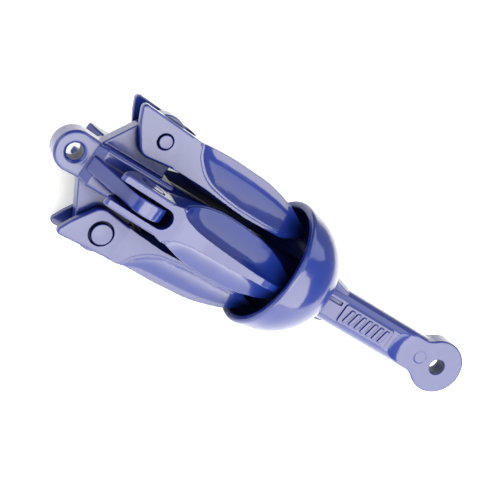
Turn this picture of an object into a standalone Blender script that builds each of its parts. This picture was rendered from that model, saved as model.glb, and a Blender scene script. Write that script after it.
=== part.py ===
"""Folding grapnel anchor: a crown and shank, four hinged flukes on pins, and a sliding lock collar.

It lies folded on the floor, shank along X, with the fluke tips held in the collar. Lengths are in millimetres
and go to metres in make(). Shapes are drawn about the shank's own axis: x runs from the crown eye to the shank
eye, z is the radius of the arm being drawn, and y is across it. turn_to() then places each about that axis.
"""

from math import asin, cos, pi, radians, sin, sqrt, tau

import bmesh
import bpy
import numpy as np
from mathutils import Matrix, Vector

MM = 0.001
FIT = 0.3  # gap between meshes that touch in the real anchor

# Overall
EYE_TO_EYE = 218.4  # crown-eye hole to shank-eye hole
CROWN_EYE_R = 9.9
SHANK_EYE_R = 13.7
RIM_R = 31.8  # collar rim, the lowest point of the folded anchor
MID_X = (EYE_TO_EYE + SHANK_EYE_R - CROWN_EYE_R) / 2

# Arms, counted round the shank; the crown's and shank's flats face arm 1
ARMS = {1: 45.0, 2: -45.0, 3: -135.0, 4: 135.0}

# Crown
TAB_T = 10.6
EYE_HOLE_D = 8.0
EYE_CHAMFER_D = 10.4
HUB_HALF = 9.8
HUB_START, HUB_END = 8.6, 47.0
WEB_T = 7.0
LUG_R = 11.0
PIN_X, PIN_Z = 30.7, 25.05
TENON_R = 7.4

# Flukes
FLUKE_W = 16.7
SLOT_W = 9.8
SLOT_END = 44.4
OPEN_DEG = 70.0  # the heel corner then stands just off the hub

# Fluke pins
PIN_D, PIN_HEAD_D, PIN_HEAD_T = 6.2, 9.4, 2.0
BORE_D, COUNTERBORE_D, COUNTERBORE_DEPTH = 7.2, 11.2, 2.3
LOCK_PIN_D, LOCK_PIN_X = 4.0, 18.5

# Shank
SHANK_R = 9.6
FLAT_Z = 8.0
EYE_T = 9.6
PANEL = (154.6, 183.4, 4.6, 8.8)  # start, end, half width, height of its face
BARS, BAR_FACE = 7, 9.15
CAM = (142.0, 153.6, 13.3, 10.3, 5.6)  # start, end, radius at each, width
CAM_ANGLES = {"top": -25.0, "bottom": 155.0}

# Collar
MOUTH_X = 109.9
BELL_X, BELL_R, BELL_WALL = 114.0, 30.6, 3.1
COLLAR_BORE_R = 10.3
COLLAR_END_R = 13.2
COLLAR_END = BELL_X + sqrt(BELL_R**2 - COLLAR_END_R**2)


def clear_scene():
    for obj in list(bpy.data.objects):
        bpy.data.objects.remove(obj)


def new_collection(name):
    group = bpy.data.collections.new(name)
    bpy.context.scene.collection.children.link(group)
    return group


def turn_to(degrees):
    """From the drawing frame to the floor frame, with z turned about the shank by this many degrees."""
    return Matrix.Translation((-MID_X * MM, 0, RIM_R * MM)) @ Matrix.Rotation(radians(degrees), 4, "X")


def make(name, points, faces, place, cutter=False):
    """A closed mesh from points in millimetres, facing out."""
    mesh = bpy.data.meshes.new(name)
    mesh.from_pydata([tuple(MM * c for c in p) for p in points], [], faces)
    work = bmesh.new()
    work.from_mesh(mesh)
    bmesh.ops.recalc_face_normals(work, faces=work.faces)
    work.to_mesh(mesh)
    work.free()
    obj = bpy.data.objects.new(name, mesh)
    obj.matrix_world = place
    (cutters if cutter else pieces).objects.link(obj)
    if cutter:
        obj.hide_render = True
        obj.display_type = "WIRE"
    return obj


def loft(name, rings, place, cutter=False):
    """A solid through rings of equally many points, closed by a flat face at each end."""
    count = len(rings[0])
    faces = [tuple(range(count)), tuple(range((len(rings) - 1) * count, len(rings) * count))]
    for i in range(len(rings) - 1):
        for j in range(count):
            k = (j + 1) % count
            faces.append((i * count + j, i * count + k, (i + 1) * count + k, (i + 1) * count + j))
    return make(name, [p for ring in rings for p in ring], faces, place, cutter)


def prism(name, outline, low, high, across, place, cutter=False):
    """An outline pushed along one axis. across 'y' takes (x, z) points, and across 'z' takes (x, y) points."""
    order = {"y": lambda a, b, c: (a, c, b), "z": lambda a, b, c: (a, b, c), "x": lambda a, b, c: (c, a, b)}[across]
    return loft(name, [[order(a, b, c) for a, b in outline] for c in (low, high)], place, cutter)


def rounded(corners, step=14):
    """An outline from (a, b, radius) corners, each rounded by an arc in steps of this many degrees."""
    outline = []
    count = len(corners)
    for i, (a, b, radius) in enumerate(corners):
        here = np.array((a, b), float)
        before = np.array(corners[i - 1][:2], float) - here
        after = np.array(corners[(i + 1) % count][:2], float) - here
        before, after = before / np.linalg.norm(before), after / np.linalg.norm(after)
        half = np.arccos(np.clip(before @ after, -1, 1)) / 2
        if radius <= 0 or abs(half - pi / 2) < 0.01:
            outline.append((a, b))
            continue
        toward = (before + after) / np.linalg.norm(before + after)
        centre = here + toward * radius / sin(half)
        start = here + before * radius / np.tan(half) - centre
        end = here + after * radius / np.tan(half) - centre
        sweep = pi - 2 * half
        sign = np.sign(start[0] * end[1] - start[1] * end[0])
        steps = max(1, round(np.degrees(sweep) / step))
        for k in range(steps + 1):
            turn = sign * sweep * k / steps
            spin = np.array(((cos(turn), -sin(turn)), (sin(turn), cos(turn))))
            outline.append(tuple(centre + spin @ start))
    return outline


def disc(centre, radius, sides):
    return [(centre[0] + radius * cos(tau * i / sides), centre[1] + radius * sin(tau * i / sides)) for i in range(sides)]


def rod(name, centre, spans, across, place, cutter=False, sides=28):
    """A round bar of (position, radius) stations along one axis."""
    order = {"x": lambda a, b, c: (c, a, b), "y": lambda a, b, c: (a, c, b), "z": lambda a, b, c: (a, b, c)}[across]
    rings = [[order(a, b, at) for a, b in disc(centre, radius, sides)] for at, radius in spans]
    return loft(name, rings, place, cutter)


def boolean(target, other, operation="DIFFERENCE"):
    step = target.modifiers.new(other.name, "BOOLEAN")
    step.operation = operation
    step.solver = "EXACT"
    step.object = other


def bevel(target, width, segments=2, angle=40):
    step = target.modifiers.new("Bevel", "BEVEL")
    step.width = width * MM
    step.segments = segments
    step.limit_method = "ANGLE"
    step.angle_limit = radians(angle)
    step.use_clamp_overlap = True


# Fluke ---------------------------------------------------------------------------------------------------------

FORK_SIDE = [  # (x, z, radius), from the heel along the outer edge, and back along the inner edge
    (11.3, 35.2, 2.0), (48.0, 33.3, 60), (57.0, 33.6, 0), (57.0, 17.4, 0), (44.0, 16.5, 30), (24.3, 14.0, 6.0), (15.4, 26.6, 30),
]
PALM_SIDE = [  # the same, from the fork along the outer edge to the tip and back
    (45.0, 32.9, 0), (54.0, 33.4, 0), (66.0, 33.9, 60), (88.0, 33.0, 45), (104.0, 29.3, 40), (121.5, 20.0, 1.2),
    (109.4, 17.6, 2.0), (104.0, 15.6, 4.0), (80.0, 15.3, 30), (58.0, 16.9, 30), (45.0, 17.0, 0),
]
PALM_PLAN = [  # (x, half width)
    (44.0, 7.6), (46.0, 8.35), (49.0, 9.7), (53.0, 11.6), (58.0, 13.3), (65.0, 14.4), (73.0, 14.7), (82.0, 14.6),
    (92.0, 13.9), (100.0, 12.6), (107.0, 10.3), (113.0, 7.2), (118.5, 3.6), (122.5, 1.2),
]
SCOOP = [  # (x, lower edge on the flank, half width of the spine, height of the outer face)
    (46.0, 35.5, 8.4, 33.5), (47.2, 32.7, 7.4, 33.4), (48.4, 29.7, 6.4, 33.4), (51.5, 25.6, 5.2, 33.5),
    (54.9, 22.6, 4.3, 33.6), (58.8, 20.5, 3.7, 33.7), (65.3, 19.0, 3.2, 33.75), (73.8, 18.0, 2.7, 33.6),
    (83.8, 17.7, 2.3, 33.0), (94.0, 17.6, 1.9, 31.4), (103.2, 17.9, 1.7, 29.0), (112.2, 19.2, 1.5, 25.3),
    (123.0, 21.5, 1.2, 20.5),
]


def scoop_ring(x, low, spine, face, side):
    """One section of the hollow in a flank: it sweeps from the rim of the palm up into the side of the spine."""
    wide, top = float(np.interp(x, *np.array(PALM_PLAN).T)) + 0.1, 37.0
    span = max(face - low, 0.5)
    curve = [(low + span * t, spine + (wide - spine) * (1 - t) ** 2.2) for t in np.linspace(0, 1, 11)]
    curve += [(top, spine), (top, wide + 4), (low, wide + 4)]
    return [(x, side * y, z) for z, y in curve]


def fluke(number, place):
    """A fork that straddles its web, and a broad palm with a spine along it and a hollow on each side."""
    name = f"fluke_{number}"
    half = FLUKE_W / 2
    body = prism(name, rounded(FORK_SIDE), -half, half, "y", place)
    bevel(body, 0.7, 2)
    palm = prism(f"{name}_palm", rounded(PALM_SIDE), -17, 17, "y", place, True)
    plan = PALM_PLAN + [(x, -y) for x, y in reversed(PALM_PLAN)]
    boolean(palm, prism(f"{name}_plan", plan, 4, 44, "z", place, True), "INTERSECT")
    boolean(body, palm, "UNION")
    for side in (1, -1):
        rings = [scoop_ring(*station, side) for station in SCOOP]
        boolean(body, loft(f"{name}_scoop_{'left' if side > 0 else 'right'}", rings, place, True))
    end = [(SLOT_END - SLOT_W / 2 + SLOT_W / 2 * sin(a), SLOT_W / 2 * cos(a)) for a in np.linspace(0, pi, 13)]
    boolean(body, prism(f"{name}_slot", [(4, SLOT_W / 2)] + end + [(4, -SLOT_W / 2)], 5, 45, "z", place, True))
    bore = [(-half - 2, BORE_D / 2), (half - COUNTERBORE_DEPTH, BORE_D / 2),
            (half - COUNTERBORE_DEPTH, COUNTERBORE_D / 2), (half + 2, COUNTERBORE_D / 2)]
    boolean(body, rod(f"{name}_bore", (PIN_X, PIN_Z), bore, "y", place, True))


def fluke_pin(number, place):
    half = FLUKE_W / 2
    spans = [(-half + 0.1, PIN_D / 2 - 0.5), (-half + 0.6, PIN_D / 2), (half - COUNTERBORE_DEPTH + FIT, PIN_D / 2),
             (half - COUNTERBORE_DEPTH + FIT, PIN_HEAD_D / 2), (half - 0.5, PIN_HEAD_D / 2), (half - 0.1, PIN_HEAD_D / 2 - 0.5)]
    rod(f"fluke_pin_{number}", (PIN_X, PIN_Z), spans, "y", place)


# Crown ---------------------------------------------------------------------------------------------------------


def web_outline():
    """The side of a web: up from the hub at a slant, round the lug about the pin, and down."""
    slope = radians(59)
    arc = [(PIN_X + LUG_R * cos(a), PIN_Z + LUG_R * sin(a)) for a in np.linspace(slope + pi / 2, -radians(15), 14)]
    tangent_x, tangent_z = arc[0]
    foot = tangent_x - (tangent_z - 7.0) / np.tan(slope)
    return [(foot, 7.0)] + arc + [(PIN_X + LUG_R, 7.0)]


def crown():
    face = turn_to(ARMS[1])
    hub = rounded([(HUB_HALF, HUB_HALF, 2), (-HUB_HALF, HUB_HALF, 2), (-HUB_HALF, -HUB_HALF, 2), (HUB_HALF, -HUB_HALF, 2)], 30)
    shrink = [(HUB_START - 1.5, 0.86, 0.56), (HUB_START + 2.2, 1.0, 1.0), (HUB_END - 0.8, 1.0, 1.0), (HUB_END, 0.93, 0.93)]
    body = loft("crown", [[(x, a * sy, b * sz) for a, b in hub] for x, sy, sz in shrink], face)
    tab = [(0.0, CROWN_EYE_R)] + [(-CROWN_EYE_R * sin(a), CROWN_EYE_R * cos(a)) for a in np.linspace(0, pi, 17)[1:-1]]
    tab += [(0.0, -CROWN_EYE_R), (16.0, -CROWN_EYE_R + 0.9), (16.0, CROWN_EYE_R - 0.9)]
    eye = prism("crown_tab", tab, -TAB_T / 2, TAB_T / 2, "z", face, True)
    bevel(eye, 1.5, 3, 60)
    boolean(body, eye, "UNION")
    for number, angle in ARMS.items():
        web = prism(f"crown_web_{number}", web_outline(), -WEB_T / 2, WEB_T / 2, "y", turn_to(angle), True)
        bevel(web, 0.6, 2, 60)
        boolean(body, web, "UNION")
    for number, angle in ARMS.items():
        hole = [(-8, PIN_D / 2 + FIT), (8, PIN_D / 2 + FIT)]
        boolean(body, rod(f"crown_pin_hole_{number}", (PIN_X, PIN_Z), hole, "y", turn_to(angle), True))
    flare = TAB_T / 2
    eye_hole = [(-flare - 1, EYE_CHAMFER_D / 2 + 1), (-flare + 1.2, EYE_HOLE_D / 2), (flare - 1.2, EYE_HOLE_D / 2),
                (flare + 1, EYE_CHAMFER_D / 2 + 1)]
    boolean(body, rod("crown_eye_hole", (0, 0), eye_hole, "z", face, True))
    boolean(body, rod("crown_socket", (0, 0), [(13.0, TENON_R + FIT), (HUB_END + 5, TENON_R + FIT)], "x", face, True, 36))
    boolean(body, rod("crown_lock_hole", (LOCK_PIN_X, 0), [(-20, LOCK_PIN_D / 2 + FIT), (20, LOCK_PIN_D / 2 + FIT)], "y",
                      turn_to(0), True, 20))
    rod("crown_lock_pin", (LOCK_PIN_X, 0), [(-11.9, LOCK_PIN_D / 2), (11.9, LOCK_PIN_D / 2)], "y", turn_to(0), sides=20)


# Shank ---------------------------------------------------------------------------------------------------------


def shank_ring(x, radius, flat, sides=40):
    """A round section with a flat on the front and the back."""
    ring = []
    for i in range(sides):
        y, z = radius * cos(tau * i / sides), radius * sin(tau * i / sides)
        ring.append((x, y, max(-flat, min(flat, z))))
    return ring


def scoop_depth(x, start=187.0, radius=17.0):
    """Half thickness of the bar where it is hollowed down to the eye plate."""
    drop = FLAT_Z - EYE_T / 2
    reach = sqrt(radius**2 - (radius - drop) ** 2)
    if x >= start + reach:
        return EYE_T / 2
    return EYE_T / 2 + radius - sqrt(radius**2 - (start + reach - x) ** 2)


def shank():
    face = turn_to(ARMS[1])
    rings = [shank_ring(13.3, TENON_R - 0.6, 99), shank_ring(14.0, TENON_R, 99), shank_ring(HUB_END + FIT, TENON_R, 99),
             shank_ring(HUB_END + FIT, SHANK_R - 0.6, 99), shank_ring(HUB_END + 1, SHANK_R, 99),
             shank_ring(140.0, SHANK_R, 99), shank_ring(141.0, SHANK_R, FLAT_Z)]
    rings += [shank_ring(x, SHANK_R, min(FLAT_Z, scoop_depth(x))) for x in (186.9, 187.2, 189, 191, 193.5, 196.5, 208)]
    body = loft("shank", rings, face)
    plan = rounded([(200.0, 9.4, 0), (206.5, 9.4, 5), (208.2, 9.9, 0)])
    reach = asin(9.2 / SHANK_EYE_R)
    plan += [(EYE_TO_EYE - SHANK_EYE_R * cos(a), SHANK_EYE_R * sin(a)) for a in np.linspace(reach, 2 * pi - reach, 35)]
    plan += [(208.2, -9.9), (206.5, -9.4), (200.0, -9.4)]
    eye = prism("shank_eye", plan, -EYE_T / 2, EYE_T / 2, "z", face, True)
    bevel(eye, 1.0, 2, 50)
    boolean(body, eye, "UNION")
    start, end, half, top = PANEL
    for side, label in ((1, "front"), (-1, "back")):
        flank = face @ Matrix.Rotation(pi if side < 0 else 0, 4, "X")
        corners = [(start, half, 1), (start, -half, 1), (end, -half, 1), (end, half, 1)]
        boolean(body, prism(f"panel_{label}", rounded(corners, 30), 6, top, "z", flank, True), "UNION")
        pitch = (end - start - 4) / BARS
        for i in range(BARS):
            x = start + 2 + pitch * i
            bar = [(x + 0.4, -3.3), (x + 2.0, -3.3), (x + pitch - 0.4, 3.3), (x + pitch - 2.0, 3.3)]
            boolean(body, prism(f"bar_{label}_{i + 1}", bar, 7, BAR_FACE, "z", flank, True), "UNION")
        groove = [(143.4, 1.4), (152.2, 1.4), (152.2, 4.6), (143.4, 4.6)]
        boolean(body, prism(f"groove_{label}", groove, FLAT_Z - 0.9, 12, "z", flank, True))
        mark = [(FLAT_Z, 3.3), (EYE_T / 2 - 0.3, 3.3)]
        boolean(body, rod(f"mark_{label}", (207.2, 0), mark[::-1], "z", flank, True, 24))
    boolean(body, rod("shank_eye_hole", (EYE_TO_EYE, 0), [(-9, EYE_HOLE_D / 2), (9, EYE_HOLE_D / 2)], "z", face, True, 32))
    cam_start, cam_end, high, low, width = CAM
    for label, angle in CAM_ANGLES.items():
        cam = [(cam_start, 7), (cam_start, high), (cam_end, low), (cam_end, 7)]
        boolean(body, prism(f"cam_{label}", cam, -width / 2, width / 2, "y", turn_to(angle), True), "UNION")
    boolean(body, rod("shank_lock_hole", (LOCK_PIN_X, 0), [(-20, LOCK_PIN_D / 2 + FIT), (20, LOCK_PIN_D / 2 + FIT)], "y",
                      turn_to(0), True, 20))


# Collar --------------------------------------------------------------------------------------------------------


def collar():
    """A bell turned about the shank, with a slot in its bore for each cam."""
    place = turn_to(0)
    outer = [(MOUTH_X, 30.1), (MOUTH_X + 0.3, 31.0), (MOUTH_X + 1.1, 31.6), (MOUTH_X + 2.2, RIM_R), (MOUTH_X + 3.6, 31.5)]
    stop = asin(COLLAR_END_R / BELL_R)
    outer += [(BELL_X + BELL_R * cos(a), BELL_R * sin(a)) for a in np.linspace(radians(84), stop, 12)]
    bore = [(COLLAR_END, COLLAR_BORE_R), (134.0, COLLAR_BORE_R), (134.0, 13.4)]
    inside = BELL_R - BELL_WALL
    inner = [(BELL_X + inside * cos(a), inside * sin(a)) for a in np.linspace(asin(13.4 / inside), pi / 2, 10)]
    profile = outer + bore + inner + [(MOUTH_X + 0.9, 28.5), (MOUTH_X + 0.2, 29.1)]
    steps = 56
    count = len(profile)
    points = [(x, r * cos(tau * i / steps), r * sin(tau * i / steps)) for i in range(steps) for x, r in profile]
    faces = []
    for i in range(steps):
        for j in range(count):
            a, b = i * count, ((i + 1) % steps) * count
            faces.append((a + j, a + (j + 1) % count, b + (j + 1) % count, b + j))
    body = make("collar", points, faces, place)
    half, high = CAM[4] / 2 + 0.4, CAM[2] + 0.5
    for label, angle in CAM_ANGLES.items():
        slot = [(132, 8), (145, 8), (145, high), (132, high)]
        boolean(body, prism(f"collar_slot_{label}", slot, -half, half, "y", turn_to(angle), True))


clear_scene()
pieces = new_collection("anchor")
cutters = new_collection("cutters")
cutters.hide_render = True
shank()
crown()
collar()
for arm, direction in ARMS.items():
    fluke(arm, turn_to(direction))
    fluke_pin(arm, turn_to(direction))
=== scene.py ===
"""Looks of the folding grapnel anchor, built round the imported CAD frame.

Castings are drawn in millimetres about the shank's own axis, as the CAD is: x runs from the crown eye to
the shank eye, z is the radius of the arm being drawn, and y is across it. Each is cut from solids, then
remeshed and relaxed, which gives the soft edges of a sand casting under thick paint, and is placed last.
"""
from math import asin, cos, pi, radians, sin, sqrt, tan, tau

import bmesh
import bpy
import numpy as np
from mathutils import Matrix, Vector


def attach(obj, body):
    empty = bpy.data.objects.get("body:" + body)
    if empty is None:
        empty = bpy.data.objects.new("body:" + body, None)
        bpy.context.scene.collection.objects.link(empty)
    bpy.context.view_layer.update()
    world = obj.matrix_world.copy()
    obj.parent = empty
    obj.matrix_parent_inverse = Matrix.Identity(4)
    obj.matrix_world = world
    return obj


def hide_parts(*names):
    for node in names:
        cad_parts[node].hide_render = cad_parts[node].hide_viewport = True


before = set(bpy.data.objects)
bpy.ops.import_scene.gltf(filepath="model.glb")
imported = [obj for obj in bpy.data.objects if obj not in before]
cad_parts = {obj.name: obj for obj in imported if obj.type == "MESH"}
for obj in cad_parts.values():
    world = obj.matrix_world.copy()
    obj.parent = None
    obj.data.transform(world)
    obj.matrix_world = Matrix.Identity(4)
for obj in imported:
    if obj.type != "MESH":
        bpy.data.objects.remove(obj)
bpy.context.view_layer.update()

MM = 0.001
EYE_TO_EYE = 218.4
CROWN_EYE_R, SHANK_EYE_R = 9.9, 13.7
MID_X = (EYE_TO_EYE + SHANK_EYE_R - CROWN_EYE_R) / 2
AXIS_HEIGHT = 31.8
ARMS = {1: 45.0, 2: -45.0, 3: -135.0, 4: 135.0}

TAB_T, EYE_HOLE_R, EYE_CHAMFER_R, EYE_CHAMFER_DEPTH = 10.6, 4.0, 5.2, 1.2
HUB_HALF, HUB_START, HUB_END = 9.8, 8.6, 47.0
WEB_T, WEB_SLOPE, WEB_FOOT_Z, LUG_R = 7.0, radians(59), 7.0, 11.0
PIN_X, PIN_Z = 30.7, 25.05
FLUKE_HALF, SLOT_W, SLOT_END = 8.35, 9.8, 44.4
PIN_R, PIN_HEAD_R, BORE_R, COUNTERBORE_R, COUNTERBORE_DEPTH = 3.3, 5.05, 3.85, 5.95, 2.3
SHANK_R, FLAT_Z, EYE_T = 9.6, 8.0, 9.6
TENON_START, TENON_R, TENON_HOLE_R = 13.3, 7.4, 7.7
PANEL_START, PANEL_END, PANEL_HALF, PANEL_TOP = 154.6, 184.4, 4.8, 8.9
BARS, BAR_HALF, BAR_TOP = 7, 3.4, 9.7
NECK_X, NECK_R, BOWL_X, BOWL_R = 190.0, 22.0, 203.0, 20.5
CAM_START, CAM_END, CAM_HIGH, CAM_LOW, CAM_HALF = 142.0, 153.6, 13.3, 10.3, 2.8
CAM_TURNS = (-25.0, 155.0)  # about the shank, from straight up
MOUTH_X, BELL_X, BELL_R, BELL_WALL = 109.9, 114.0, 30.6, 3.1
SWELL_X, SWELL_R = 113.2, 31.9
COLLAR_BORE_R, COLLAR_SEAT_X, COLLAR_SEAT_R, COLLAR_END_R = 10.9, 134.0, 13.4, 13.2
COLLAR_TILT, COLLAR_LIFT = 2.0, 0.2


def turn_to(degrees):
    """From the drawing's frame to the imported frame's, with z turned this far from straight up."""
    return Matrix.Translation((-MID_X * MM, 0, AXIS_HEIGHT * MM)) @ Matrix.Rotation(radians(degrees), 4, "X")


# Solids -------------------------------------------------------------------------------------------


def link(name, mesh):
    """A new object in the scene that holds the mesh."""
    obj = bpy.data.objects.new(name, mesh)
    bpy.context.scene.collection.objects.link(obj)
    return obj


def make(name, points, faces):
    """A closed mesh from points in millimetres, with its faces pointing out."""
    mesh = bpy.data.meshes.new(name)
    mesh.from_pydata([tuple(MM * c for c in p) for p in points], [], faces)
    work = bmesh.new()
    work.from_mesh(mesh)
    bmesh.ops.recalc_face_normals(work, faces=work.faces)
    work.to_mesh(mesh)
    work.free()
    return link(name, mesh)


def loft(name, rings, closed=False):
    """A skin through the rings, capped at both ends or joined end to end."""
    count = len(rings[0])
    last = (len(rings) - 1) * count
    faces = [] if closed else [tuple(range(count)), tuple(range(last, last + count))]
    for i in range(len(rings) if closed else len(rings) - 1):
        a, b = i * count, (i + 1) % len(rings) * count
        for j in range(count):
            k = (j + 1) % count
            faces.append((a + j, a + k, b + k, b + j))
    return make(name, [p for ring in rings for p in ring], faces)


# How an outline's two coordinates and the height across it become x, y and z.
ORDER = {"x": lambda a, b, c: (c, a, b), "y": lambda a, b, c: (a, c, b), "z": lambda a, b, c: (a, b, c)}


def prism(outline, low, high, across, bevel=0.0, segments=3, angle=40):
    """An outline made thick along one axis, with its edges rounded if a bevel is given."""
    order = ORDER[across]
    obj = loft("solid", [[order(a, b, c) for a, b in outline] for c in (low, high)])
    if bevel:
        step = obj.modifiers.new("Bevel", "BEVEL")
        step.width = bevel * MM
        step.segments = segments
        step.limit_method = "ANGLE"
        step.angle_limit = radians(angle)
    return obj


def disc(centre, radius, sides):
    turns = [tau * i / sides for i in range(sides)]
    return [(centre[0] + radius * cos(a), centre[1] + radius * sin(a)) for a in turns]


def rod(centre, spans, across, sides=64):
    """A round solid along one axis, from (position, radius) spans."""
    order = ORDER[across]
    return loft("solid", [[order(a, b, at) for a, b in disc(centre, radius, sides)] for at, radius in spans])


def rounded(corners, step=6):
    """An outline from (a, b, radius) corners, each rounded by an arc."""
    outline = []
    count = len(corners)
    for i, (a, b, radius) in enumerate(corners):
        here = np.array((a, b), float)
        before = np.array(corners[i - 1][:2], float) - here
        after = np.array(corners[(i + 1) % count][:2], float) - here
        before, after = before / np.linalg.norm(before), after / np.linalg.norm(after)
        half = np.arccos(np.clip(before @ after, -1, 1)) / 2
        if radius <= 0 or abs(half - pi / 2) < 0.01:
            outline.append((a, b))
            continue
        toward = (before + after) / np.linalg.norm(before + after)
        centre = here + toward * radius / sin(half)
        start = here + before * radius / np.tan(half) - centre
        end = here + after * radius / np.tan(half) - centre
        sweep = pi - 2 * half
        sign = np.sign(start[0] * end[1] - start[1] * end[0])
        steps = max(2, round(np.degrees(sweep) / step))
        for k in range(steps + 1):
            turn = sign * sweep * k / steps
            spin = np.array(((cos(turn), -sin(turn)), (sin(turn), cos(turn))))
            outline.append(tuple(centre + spin @ start))
    return outline


def baked(obj):
    """The object's mesh with its modifiers, and the object removed."""
    graph = bpy.context.evaluated_depsgraph_get()
    mesh = bpy.data.meshes.new_from_object(obj.evaluated_get(graph))
    bpy.data.objects.remove(obj)
    return mesh


def combine(body, steps):
    """Joins or cuts the solids in turn. Each step is an operation, a solid and its turn about the shank."""
    for operation, other, turn in steps:
        if turn:
            other.data.transform(Matrix.Rotation(radians(turn), 4, "X"))
        step = body.modifiers.new("Boolean", "BOOLEAN")
        step.operation = operation
        step.solver = "EXACT"
        step.object = other
    mesh = baked(body)
    for _, other, _ in steps:
        bpy.data.objects.remove(other)
    return mesh


def smooth(mesh, degrees=35):
    """Shades the mesh smooth, and leaves its sharper edges crisp."""
    mesh.shade_smooth()
    work = bmesh.new()
    work.from_mesh(mesh)
    for edge in work.edges:
        edge.smooth = not edge.is_manifold or edge.calc_face_angle(0) < radians(degrees)
    work.to_mesh(mesh)
    work.free()


def cast(name, mesh, voxel=0.3, relax=4, keep=0.4):
    """Remeshes a cut solid at a voxel size in mm and relaxes it, so that every edge is softly rounded."""
    obj = link(name, mesh)
    step = obj.modifiers.new("Remesh", "REMESH")
    step.mode = "VOXEL"
    step.voxel_size = voxel * MM
    step = obj.modifiers.new("Smooth", "SMOOTH")
    step.factor = 0.5
    step.iterations = relax
    step = obj.modifiers.new("Decimate", "DECIMATE")
    step.ratio = keep
    mesh = baked(obj)
    mesh.shade_smooth()
    return mesh


def bare_bore(mesh, x, radius):
    """Gives the second material to the wall of the hole at x."""
    for face in mesh.polygons:
        if (face.center.x - x * MM) ** 2 + face.center.y**2 < (radius * MM) ** 2:
            face.material_index = 1
    return mesh


def place(name, mesh, body, nodes, finish, matrix):
    """Adds a finished piece, which rides its body and stands in for its CAD nodes."""
    mesh.transform(matrix)
    obj = link(name, mesh)
    obj.data.materials.clear()
    for material in finish:
        obj.data.materials.append(material)
    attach(obj, body)
    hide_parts(*nodes)
    return obj


# Flukes -------------------------------------------------------------------------------------------

FLUKE_SIDE = [  # (x, z, radius), from the heel along the outer edge to the tip, and back along the inner edge
    (11.3, 35.2, 2.0), (48.0, 33.3, 60), (66.0, 33.9, 60), (88.0, 33.0, 45), (104.0, 29.3, 40),
    (121.5, 20.0, 1.2), (109.4, 17.6, 2.0), (104.0, 15.6, 4.0), (80.0, 15.3, 30), (58.0, 16.9, 30),
    (44.0, 16.5, 30), (24.3, 14.0, 6.0), (15.4, 26.6, 30),
]
LEAN = {1: -2.2, 2: 0.3, 3: -0.5, 4: -0.3}  # each fluke stands a little askew on its pin
FORK_CUT_X, LEAF_CUT_HALF = 56.0, 17.0
PALM = [  # (x, half width): the fluke spreads beyond its fork into a leaf
    (40.0, 8.0), (44.0, 8.9), (50.0, 10.3), (56.0, 11.9), (62.0, 13.4), (68.0, 14.4), (75.0, 14.7),
    (82.0, 14.6), (92.0, 13.9), (100.0, 12.6), (107.0, 10.3), (113.0, 7.2), (118.5, 3.6), (122.5, 1.2),
]
SCOOP = [  # (x, lower edge on the flank, half width of the spine, height of the outer face)
    (46.0, 35.5, 8.4, 33.5), (47.2, 32.7, 7.4, 33.4), (48.4, 29.7, 6.4, 33.4), (51.5, 25.6, 5.2, 33.5),
    (54.9, 22.6, 4.3, 33.6), (58.8, 20.5, 3.7, 33.7), (65.3, 19.0, 3.2, 33.75), (73.8, 18.0, 2.7, 33.6),
    (83.8, 17.7, 2.3, 33.0), (94.0, 17.6, 1.9, 31.4), (103.2, 17.9, 1.7, 29.0), (112.2, 19.2, 1.5, 25.3),
    (123.0, 21.5, 1.2, 20.5),
]
BELLY = [  # (x, height of the keel), where the palm's inner face swells towards the shank
    (47.5, 15.4), (52, 13.6), (60, 12.6), (72, 12.2), (86, 12.4), (98, 13.4), (106, 15.6),
]
BELLY_RIM = [  # (x, height of the palm's inner edge)
    (47, 17.0), (58, 17.2), (80, 15.8), (104, 16.2), (108, 17.6),
]
SPINE_SWEEP, BELLY_SWEEP = 2.2, 1.6  # the powers of the two curves


def curve_through(rows, count):
    """Rows of numbers resampled on a smooth curve by their first column."""
    rows = np.array(rows, float)
    x = np.linspace(rows[0, 0], rows[-1, 0], count)
    slopes = np.gradient(rows, rows[:, 0], axis=0)
    out = []
    for v in x:
        i = min(max(np.searchsorted(rows[:, 0], v) - 1, 0), len(rows) - 2)
        h = rows[i + 1, 0] - rows[i, 0]
        t = (v - rows[i, 0]) / h
        h00, h10, h01, h11 = 2 * t**3 - 3 * t**2 + 1, t**3 - 2 * t**2 + t, -2 * t**3 + 3 * t**2, t**3 - t**2
        out.append(h00 * rows[i] + h10 * h * slopes[i] + h01 * rows[i + 1] + h11 * h * slopes[i + 1])
    return out


def along(rows, x):
    return float(np.interp(x, *np.array(rows).T))


def scoop_ring(x, low, spine, face, side):
    """One section of the hollow in a flank: it sweeps from the leaf's rim up into the side of the spine."""
    wide, top = along(PALM, x) + 0.05, 37.0
    span = max(face - low, 0.5)
    curve = [(low + span * t, spine + (wide - spine) * (1 - t) ** SPINE_SWEEP) for t in np.linspace(0, 1, 33)]
    curve += [(top, spine), (top, wide + 4), (low, wide + 4)]
    return [(x, side * y, z) for z, y in curve]


def ledge_ring(x, low, spine, face, side):
    """The fine step that runs round a scoop, on the flank and along the spine."""
    wide = along(PALM, x)
    foot, brow, edge = min(low - 0.8, face - 0.9), face - 0.4, min(spine + 0.7, wide - 0.6)
    ring = [(foot, wide + 5), (foot, wide - 0.4), (brow, wide - 0.4), (brow, edge)]
    ring += [(face + 6, edge), (face + 6, wide + 5)]
    return [(x, side * y, z) for z, y in ring]


def palm_mesh():
    """The leaf-shaped blade: the fluke's side view cut to its plan."""
    leaf = PALM + [(x, -y) for x, y in reversed(PALM)]
    side = prism(rounded(FLUKE_SIDE), -LEAF_CUT_HALF, LEAF_CUT_HALF, "y")
    return combine(side, [("INTERSECT", prism(leaf, 4, 44, "z"), 0)])


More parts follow.
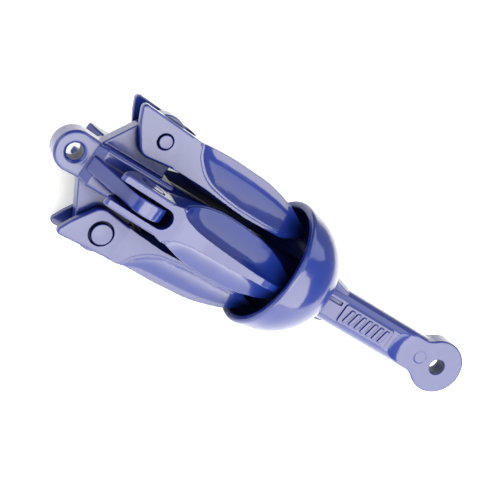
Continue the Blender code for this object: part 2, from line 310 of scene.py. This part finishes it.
def belly_ring(x, keel):
    edge, rim = along(PALM, x) - 0.5, along(BELLY_RIM, x)
    ring = [(x, y, keel + (rim - keel) * abs(y / edge) ** BELLY_SWEEP) for y in np.linspace(-edge, edge, 25)]
    return ring + [(x, edge, 20.5), (x, -edge, 20.5)]


def fluke_mesh():
    fork = FLUKE_SIDE[:2] + [(FORK_CUT_X, 33.5, 0), (FORK_CUT_X, 17.2, 0)] + FLUKE_SIDE[-3:]
    body = prism(rounded(fork), -FLUKE_HALF, FLUKE_HALF, "y", 1.1, 4)
    steps = [("UNION", link("solid", palm_mesh()), 0)]
    steps.append(("UNION", loft("solid", [belly_ring(*station) for station in BELLY]), 0))
    stations = curve_through(SCOOP, 60)
    ledges = [(x - 1.0, low, spine, face) for x, low, spine, face in stations]
    for side in (1, -1):
        steps.append(("DIFFERENCE", loft("solid", [ledge_ring(*s, side) for s in ledges]), 0))
        steps.append(("DIFFERENCE", loft("solid", [scoop_ring(*s, side) for s in stations]), 0))
    end = [(SLOT_END - SLOT_W / 2 + SLOT_W / 2 * sin(a), SLOT_W / 2 * cos(a)) for a in np.linspace(0, pi, 33)]
    steps.append(("DIFFERENCE", prism([(4, SLOT_W / 2)] + end + [(4, -SLOT_W / 2)], 5, 45, "z"), 0))
    bore = [(-FLUKE_HALF - 2, BORE_R), (FLUKE_HALF - COUNTERBORE_DEPTH, BORE_R),
            (FLUKE_HALF - COUNTERBORE_DEPTH, COUNTERBORE_R), (FLUKE_HALF + 2, COUNTERBORE_R)]
    steps.append(("DIFFERENCE", rod((PIN_X, PIN_Z), bore, "y"), 0))
    return cast("fluke", combine(body, steps), 0.22, 3, 0.3)


def pin_mesh():
    """A headed pin, pressed a little towards one side of its bore and with rounded ends."""
    half, edge = FLUKE_HALF, 0.5
    shoulder = half - COUNTERBORE_DEPTH + 0.3
    quarter = np.linspace(0, pi / 2, 7)
    shaft = [(-half + 0.1 + edge * (1 - cos(a)), PIN_R - edge * (1 - sin(a))) for a in quarter]
    shaft += [(half - 1.0, PIN_R)]
    head = [(shoulder, PIN_HEAD_R - 0.2), (shoulder + 0.2, PIN_HEAD_R)]
    head += [(half - 0.1 - edge * (1 - cos(a)), PIN_HEAD_R - edge * (1 - sin(a))) for a in reversed(quarter)]
    body = rod((PIN_X + 0.45, PIN_Z), shaft, "y", 96)
    mesh = combine(body, [("UNION", rod((PIN_X + 0.7, PIN_Z + 0.3), head, "y", 96), 0)])
    smooth(mesh)
    return mesh


# Crown --------------------------------------------------------------------------------------------


def web_outline():
    """The side of a web: up from the hub at a slant, round the lug about the pin, and down."""
    turns = np.linspace(WEB_SLOPE + pi / 2, -radians(15), 40)
    arc = [(PIN_X + LUG_R * cos(a), PIN_Z + LUG_R * sin(a)) for a in turns]
    foot = arc[0][0] - (arc[0][1] - WEB_FOOT_Z) / tan(WEB_SLOPE)
    return [(foot, WEB_FOOT_Z)] + arc + [(PIN_X + LUG_R, WEB_FOOT_Z)]


def crown_mesh():
    hub = rounded([(a * HUB_HALF, b * HUB_HALF, 2) for a, b in ((1, 1), (-1, 1), (-1, -1), (1, -1))], 10)
    shrink = [  # (x, share of the width, share of the height)
        (HUB_START - 1.5, 0.86, 0.56), (HUB_START + 2.2, 1.0, 1.0),
        (HUB_END - 0.8, 1.0, 1.0), (HUB_END, 0.93, 0.93),
    ]
    body = loft("solid", [[(x, a * sy, b * sz) for a, b in hub] for x, sy, sz in shrink])
    half_turn = np.linspace(0, pi, 49)[1:-1]
    tab = [(0.0, CROWN_EYE_R)] + [(-CROWN_EYE_R * sin(a), CROWN_EYE_R * cos(a)) for a in half_turn]
    tab += [(0.0, -CROWN_EYE_R), (16.0, -CROWN_EYE_R + 0.9), (16.0, CROWN_EYE_R - 0.9)]
    steps = [("UNION", prism(tab, -TAB_T / 2, TAB_T / 2, "z", 1.5, 5, 60), 0)]
    for turn in (0, 90, 180, 270):
        steps.append(("UNION", prism(web_outline(), -WEB_T / 2, WEB_T / 2, "y", 0.6, 3, 60), turn))
    for turn in (0, 90, 180, 270):
        steps.append(("DIFFERENCE", rod((PIN_X, PIN_Z), [(-8, PIN_R + 0.6), (8, PIN_R + 0.6)], "y"), turn))
    flare = TAB_T / 2
    wall = flare - EYE_CHAMFER_DEPTH
    mouth = EYE_CHAMFER_R + 1
    hole = [(-flare - 1, mouth), (-wall, EYE_HOLE_R), (wall, EYE_HOLE_R), (flare + 1, mouth)]
    steps.append(("DIFFERENCE", rod((0, 0), hole, "z"), 0))
    steps.append(("DIFFERENCE", rod((0, 0), [(13.0, TENON_HOLE_R), (HUB_END + 5, TENON_HOLE_R)], "x"), 0))
    return cast("crown", combine(body, steps))


# Shank --------------------------------------------------------------------------------------------


def shank_ring(x, radius, flat=SHANK_R, sides=96):
    """A round section, cut off at a height above and below."""
    ring = []
    for i in range(sides):
        y, z = radius * cos(tau * i / sides), radius * sin(tau * i / sides)
        ring.append((x, y, max(-flat, min(flat, z))))
    return ring


def neck_height(x):
    """Half the thickness where the bar thins, along an arc, to the plate of the eye."""
    drop = FLAT_Z - EYE_T / 2
    foot = NECK_X + sqrt(NECK_R**2 - (NECK_R - drop) ** 2)
    if x >= foot:
        return EYE_T / 2
    return EYE_T / 2 + NECK_R - sqrt(NECK_R**2 - (foot - x) ** 2)


def shank_body():
    """The round tenon in the hub, the bar behind it and the thinning neck, as one loft."""
    rings = [shank_ring(TENON_START, TENON_R - 0.6), shank_ring(TENON_START + 0.7, TENON_R),
             shank_ring(HUB_END + 0.3, TENON_R), shank_ring(HUB_END + 0.3, SHANK_R - 0.6),
             shank_ring(HUB_END + 1.0, SHANK_R), shank_ring(140.0, SHANK_R),
             shank_ring(141.0, SHANK_R, FLAT_Z)]
    for x in list(np.linspace(186.9, 202, 30)) + [208]:
        rings.append(shank_ring(x, SHANK_R, min(FLAT_Z, neck_height(x))))
    return loft("solid", rings)


def eye_plan():
    """The plate eye from above: a neck that flares from the bar, and the round of the eye."""
    reach = asin(10.4 / SHANK_EYE_R)
    start = (EYE_TO_EYE - SHANK_EYE_R * cos(reach), SHANK_EYE_R * sin(reach))
    flank = rounded([(193.0, 6.6, 0), (199.0, 8.0, 20), (206.4, 8.9, 7), (*start, 0)], 4)[:-1]
    turns = np.linspace(reach, 2 * pi - reach, 90)
    eye = [(EYE_TO_EYE - SHANK_EYE_R * cos(a), SHANK_EYE_R * sin(a)) for a in turns]
    return flank + eye + [(x, -y) for x, y in reversed(flank)]


def flat_steps(turn):
    """What stands on one flat of the bar and what is cut into it."""
    start, end, half = PANEL_START, PANEL_END, PANEL_HALF
    corners = [(start, half, 1), (start, -half, 1), (end, -half, 1), (end, half, 1)]
    steps = [("UNION", prism(rounded(corners), 6, PANEL_TOP, "z", 0.2, 2), turn)]
    pitch = (end - start - 4) / BARS
    for i in range(BARS):
        x = start + 2 + pitch * i
        foot, head = (x + 0.2, x + 2.1), (x + pitch - 0.2, x + pitch - 2.1)
        bar = [(foot[0], -BAR_HALF), (foot[1], -BAR_HALF), (head[0], BAR_HALF), (head[1], BAR_HALF)]
        steps.append(("UNION", prism(bar, 7, BAR_TOP, "z", 0.15, 1), turn))
    groove = [(140.4, 2.2), (152.6, 2.2), (152.6, 4.1), (140.4, 4.1)]
    steps.append(("DIFFERENCE", prism(groove, 7.2, 12, "z"), turn))
    sweep = np.linspace(0, 0.65, 16)
    bowl = [(EYE_T / 2 + 0.02 + BOWL_R * (1 - cos(a)), 5 + BOWL_R * sin(a)) for a in sweep]
    steps.append(("DIFFERENCE", rod((BOWL_X, 0), bowl, "z", 96), turn))
    steps.append(("DIFFERENCE", rod((207.2, 0), [(EYE_T / 2 - 0.3, 3.3), (FLAT_Z, 3.3)], "z"), turn))
    return steps


def shank_mesh():
    steps = [("UNION", prism(eye_plan(), -EYE_T / 2, EYE_T / 2, "z", 0.9, 4, 50), 0)]
    for turn in (0, 180):
        steps += flat_steps(turn)
    steps.append(("DIFFERENCE", rod((EYE_TO_EYE, 0), [(-9, EYE_HOLE_R), (9, EYE_HOLE_R)], "z"), 0))
    for turn in CAM_TURNS:
        cam = [(CAM_START, 7), (CAM_START, CAM_HIGH), (CAM_END, CAM_LOW), (CAM_END, 7)]
        steps.append(("UNION", prism(cam, -CAM_HALF, CAM_HALF, "y", 0.5, 2), turn - ARMS[1]))
    return cast("shank", combine(shank_body(), steps), 0.22, 3, 0.35)


# Collar -------------------------------------------------------------------------------------------


def collar_profile():
    """Half of the bell's section, from the rim over the outside, down the bore and back up the inside."""
    outer = [(MOUTH_X, 31.0), (MOUTH_X + 0.3, 31.8), (MOUTH_X + 1.0, 32.2), (MOUTH_X + 2.0, 32.3),
             (MOUTH_X + 4.2, 32.07)]
    turns = np.linspace(radians(83), asin(COLLAR_END_R / SWELL_R), 60)
    outer += [(SWELL_X + SWELL_R * cos(a), SWELL_R * sin(a)) for a in turns]
    end = BELL_X + sqrt(BELL_R**2 - COLLAR_END_R**2)
    bore = [(end, COLLAR_BORE_R), (COLLAR_SEAT_X, COLLAR_BORE_R), (COLLAR_SEAT_X, COLLAR_SEAT_R)]
    inside = BELL_R - BELL_WALL + 0.6
    turns = np.linspace(asin(COLLAR_SEAT_R / inside), pi / 2, 30)
    inner = [(BELL_X + inside * cos(a), inside * sin(a)) for a in turns]
    return outer + bore + inner + [(MOUTH_X + 0.9, 28.5), (MOUTH_X + 0.2, 29.1)]


def collar_mesh():
    """The bell, turned about the shank, with a slot in its bore for each cam."""
    profile, sides = collar_profile(), 128
    turns = [tau * i / sides for i in range(sides)]
    rings = [[(x, r * cos(a), r * sin(a)) for x, r in profile] for a in turns]
    steps = []
    for turn in CAM_TURNS:
        slot = [(132, 8), (145, 8), (145, CAM_HIGH + 0.5), (132, CAM_HIGH + 0.5)]
        steps.append(("DIFFERENCE", prism(slot, -CAM_HALF - 0.4, CAM_HALF + 0.4, "y"), turn))
    return cast("collar", combine(loft("solid", rings, closed=True), steps))


# Materials ----------------------------------------------------------------------------------------


# The third blue is painted shade: the near-black that the paint turns to in recesses and creases.
BLUE, DEEP_BLUE, PAINTED_SHADE_BLUE = (0.004, 0.015, 0.15), (0.003, 0.013, 0.13), (0.001, 0.002, 0.012)
LIGHT_METAL, DARK_METAL = (0.5, 0.5, 0.5), (0.36, 0.36, 0.37)
LIGHT_FLOOR, DARK_FLOOR = (0.92, 0.92, 0.92), (0.89, 0.89, 0.89)
HOLLOW_SIZE, CREASE_SIZE = 0.03, 0.0018


def material(name):
    mat = bpy.data.materials.new(name)
    mat.use_nodes = True
    return mat, mat.node_tree.nodes, mat.node_tree.links, mat.node_tree.nodes["Principled BSDF"]


def noise(nodes, links, scale, detail=2.0):
    where = nodes.new("ShaderNodeTexCoord")
    node = nodes.new("ShaderNodeTexNoise")
    node.inputs["Scale"].default_value = scale
    node.inputs["Detail"].default_value = detail
    links.new(where.outputs["Object"], node.inputs["Vector"])
    return node.outputs["Fac"]


def spread(nodes, links, factor, low, high):
    """The middle of a noise's range, stretched to run from low to high."""
    node = nodes.new("ShaderNodeMapRange")
    node.inputs["From Min"].default_value, node.inputs["From Max"].default_value = 0.3, 0.7
    node.inputs["To Min"].default_value, node.inputs["To Max"].default_value = low, high
    links.new(factor, node.inputs["Value"])
    return node.outputs["Result"]


def mixed(nodes, links, factor, first, second):
    node = nodes.new("ShaderNodeMix")
    node.data_type = "RGBA"
    node.inputs["A"].default_value = (*first, 1)
    node.inputs["B"].default_value = (*second, 1)
    links.new(factor, node.inputs["Factor"])
    return node.outputs["Result"]


def bumped(nodes, links, shader, height, distance, strength):
    """The same fine waves on the paint and on its clear coat."""
    node = nodes.new("ShaderNodeBump")
    node.inputs["Distance"].default_value = distance
    node.inputs["Strength"].default_value = strength
    links.new(height, node.inputs["Height"])
    for socket in ("Normal", "Coat Normal"):
        links.new(node.outputs["Normal"], shader.inputs[socket])


def open_sky(nodes, links, distance):
    """How open a point is to what surrounds it: 1 on an open face, and less in a recess of this size."""
    node = nodes.new("ShaderNodeAmbientOcclusion")
    node.samples = 6
    node.inputs["Distance"].default_value = distance
    return node.outputs["AO"]


def ramp(nodes, links, value, low, high):
    """0 below low, 1 above high, and straight between."""
    node = nodes.new("ShaderNodeMapRange")
    node.inputs["From Min"].default_value, node.inputs["From Max"].default_value = low, high
    links.new(value, node.inputs["Value"])
    return node.outputs["Result"]


def times(nodes, links, first, second):
    node = nodes.new("ShaderNodeMath")
    node.operation = "MULTIPLY"
    links.new(first, node.inputs[0])
    links.new(second, node.inputs[1])
    return node.outputs["Value"]


def paint():
    """Blue lacquer under a clear coat, with painted shade that makes it darker and duller in recesses and
    creases.
    """
    mat, nodes, links, shader = material("candy_blue")
    hollow = open_sky(nodes, links, HOLLOW_SIZE)
    crease = ramp(nodes, links, open_sky(nodes, links, CREASE_SIZE), 0.45, 0.85)
    # Painted shade: the base colour turns to a near-black blue where ambient occlusion finds a recess or a
    # crease.
    blend = nodes.new("ShaderNodeMix")
    blend.data_type = "RGBA"
    blend.inputs["A"].default_value = (*PAINTED_SHADE_BLUE, 1)
    links.new(times(nodes, links, ramp(nodes, links, hollow, 0.2, 0.55), crease), blend.inputs["Factor"])
    links.new(mixed(nodes, links, noise(nodes, links, 45, 3), BLUE, DEEP_BLUE), blend.inputs["B"])
    links.new(blend.outputs["Result"], shader.inputs["Base Color"])
    links.new(spread(nodes, links, noise(nodes, links, 160), 0.36, 0.46), shader.inputs["Roughness"])
    shader.inputs["Specular IOR Level"].default_value = 0.12
    # Painted shade on the clear coat too: its weight falls away in recesses and creases, so they show no
    # reflection.
    coat_painted_shade = ramp(nodes, links, hollow, 0.4, 0.74)
    links.new(times(nodes, links, coat_painted_shade, crease), shader.inputs["Coat Weight"])
    shader.inputs["Coat Roughness"].default_value = 0.12
    shader.inputs["Coat IOR"].default_value = 1.5
    bumped(nodes, links, shader, noise(nodes, links, 260, 1), 0.0002, 0.22)
    return mat


def bare_metal():
    mat, nodes, links, shader = material("bare_metal")
    grain = noise(nodes, links, 700)
    links.new(mixed(nodes, links, grain, LIGHT_METAL, DARK_METAL), shader.inputs["Base Color"])
    shader.inputs["Metallic"].default_value = 1.0
    links.new(spread(nodes, links, noise(nodes, links, 900), 0.25, 0.4), shader.inputs["Roughness"])
    return mat


def leaned(number):
    """A fluke's small turn about the middle of its pin."""
    about = Vector((PIN_X * MM, 0, PIN_Z * MM))
    lean = Matrix.Rotation(radians(LEAN[number]), 4, "Z")
    return Matrix.Translation(about) @ lean @ Matrix.Translation(-about)


def hung():
    """The loose collar sits tilted about the middle of its bore, and a little high."""
    hang = Vector((138 * MM, 0, 0))
    lift = Matrix.Translation((0, COLLAR_LIFT * MM, COLLAR_LIFT * MM))
    tilt = Matrix.Rotation(radians(COLLAR_TILT), 4, (0, 0.707, -0.707))
    return lift @ (Matrix.Translation(hang) @ tilt @ Matrix.Translation(-hang))


def build():
    blue, bare = paint(), bare_metal()
    fluke, pin = fluke_mesh(), pin_mesh()
    for number, angle in ARMS.items():
        node, turn = f"fluke_{number}", turn_to(angle)
        place(f"Fluke_{number}", fluke.copy(), node, [node], [blue], turn @ leaned(number))
        place(f"Pin_{number}", pin.copy(), "shank", [f"fluke_pin_{number}"], [blue], turn)
    face = turn_to(ARMS[1])
    crown = bare_bore(crown_mesh(), 0, 4.3)
    place("Arm_head", crown, "shank", ["crown", "crown_lock_pin"], [blue, bare], face)
    shank = bare_bore(shank_mesh(), EYE_TO_EYE, 4.25)
    place("Shank", shank, "shank", ["shank"], [blue, bare], face)
    place("Collar", collar_mesh(), "collar", ["collar"], [blue], turn_to(0) @ hung())


# Camera, floor and light --------------------------------------------------------------------------


def camera():
    """Looks down at the anchor from one side, rolled so that the shank runs to the lower right."""
    data = bpy.data.cameras.new("Camera")
    data.sensor_width = 36
    data.lens = 138.2
    data.clip_start, data.clip_end = 0.01, 20
    obj = bpy.data.objects.new("Camera", data)
    bpy.context.scene.collection.objects.link(obj)
    azimuth, elevation, roll = radians(-42.0), radians(47.15), radians(64.3)
    back = Vector((sin(azimuth) * cos(elevation), -cos(azimuth) * cos(elevation), sin(elevation)))
    turn = (-back).to_track_quat("-Z", "Y") @ Matrix.Rotation(roll, 3, "Z").to_quaternion()
    obj.matrix_world = Matrix.Translation((-0.4134, -0.4458, 0.6811)) @ turn.to_matrix().to_4x4()
    bpy.context.scene.camera = obj


def light(name, toward, distance, size, power, color=(1, 1, 1)):
    """A soft panel that faces the middle of the anchor from the given direction."""
    data = bpy.data.lights.new(name, "AREA")
    data.shape = "RECTANGLE"
    data.size, data.size_y = size
    data.energy = power
    data.color = color
    obj = bpy.data.objects.new(name, data)
    bpy.context.scene.collection.objects.link(obj)
    toward = Vector(toward).normalized()
    obj.location = Vector((0, 0, 0.03)) + toward * distance
    obj.rotation_mode = "QUATERNION"
    obj.rotation_quaternion = (-toward).to_track_quat("-Z", "Y")


def floor():
    mesh = bpy.data.meshes.new("Floor")
    mesh.from_pydata([(-4, -4, 0), (4, -4, 0), (4, 4, 0), (-4, 4, 0)], [], [(0, 1, 2, 3)])
    link("Floor", mesh)
    mat, nodes, links, shader = material("floor")
    mottle = noise(nodes, links, 3)
    links.new(mixed(nodes, links, mottle, LIGHT_FLOOR, DARK_FLOOR), shader.inputs["Base Color"])
    shader.inputs["Roughness"].default_value = 0.9
    shader.inputs["Emission Color"].default_value = (1.0, 1.0, 1.0, 1)
    shader.inputs["Emission Strength"].default_value = 0.4
    mesh.materials.append(mat)


def studio():
    world = bpy.data.worlds.new("World")
    bpy.context.scene.world = world
    world.use_nodes = True
    world.node_tree.nodes["Background"].inputs[0].default_value = (1, 1, 1, 1)
    world.node_tree.nodes["Background"].inputs[1].default_value = 0.37
    light("Softbox", (0.34, -0.79, 0.51), 1.0, (1.4, 1.15), 36, (1.0, 0.93, 0.66))
    light("Fill", (-0.1, -0.45, 0.88), 1.2, (1.6, 1.4), 13, (0.9, 0.95, 1.0))
    light("Back", (0.43, 0.48, 0.77), 1.2, (1.0, 0.8), 5.5)
    light("Side", (-0.95, -0.2, 0.22), 1.2, (1.1, 0.8), 7)
    bpy.context.scene.view_settings.view_transform = "Standard"


camera()
build()
floor()
studio()
